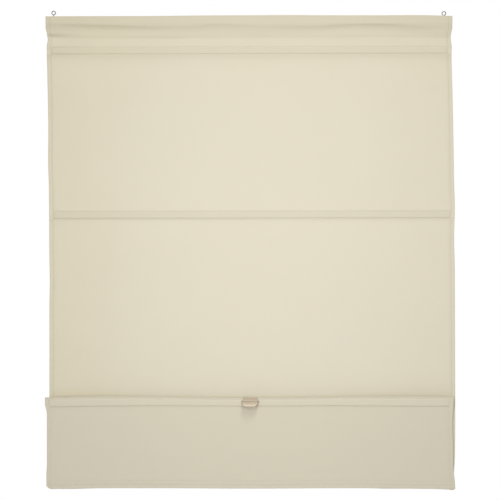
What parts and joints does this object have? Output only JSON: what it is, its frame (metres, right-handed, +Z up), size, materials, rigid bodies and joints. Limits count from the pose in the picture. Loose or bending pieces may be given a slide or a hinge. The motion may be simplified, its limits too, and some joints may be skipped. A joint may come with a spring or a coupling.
{
  "type": "roman blind",
  "caption": "Cotton roman blind that hangs from screw eyes, stiffened by flat staves in sewn pockets, with a fold gathered at its foot and a moulded finger pull to raise and lower it.",
  "frame": {"origin": "midway between the centres of the two screw eyes that the blind hangs from", "axes": "+X along the blind to the viewer's right, +Y away from the room towards the window, +Z up"},
  "size_m": [1, 0.0576, 1.1749],
  "materials": {
    "cotton": "matte plain-weave cotton, cream",
    "tape": "woven cotton tape, off-white",
    "batten_wood": "planed softwood",
    "zinc_wire": "zinc-plated steel wire",
    "stave_plastic": "glass-fibre stave, off-white",
    "pull_plastic": "moulded plastic, beige"
  },
  "bodies": {
    "head": {"cloth": "cotton", "header_tape": "tape", "head_batten": "batten_wood", "screw_eye_left": "zinc_wire", "screw_eye_right": "zinc_wire", "header_stave": "stave_plastic"},
    "upper": {"upper_tape": "tape", "upper_stave": "stave_plastic"},
    "middle": {"middle_tape": "tape", "middle_stave": "stave_plastic"},
    "lift": {"lift_tape": "tape", "lift_stave": "stave_plastic", "handle": "pull_plastic"}
  },
  "joints": [
    {"name": "upper_rise", "type": "slide", "parent": "head", "child": "upper", "axis": [0, 0, 1], "range_m": [0, 0.405], "deforming": ["cloth"]},
    {"name": "middle_rise", "type": "slide", "parent": "upper", "child": "middle", "axis": [0, 0, 1], "range_m": [0, 0.459], "deforming": ["cloth"]},
    {"name": "lift_drop", "type": "slide", "parent": "middle", "child": "lift", "axis": [0, 0, 1], "range_m": [-0.445, 0], "deforming": ["cloth"]}
  ]
}
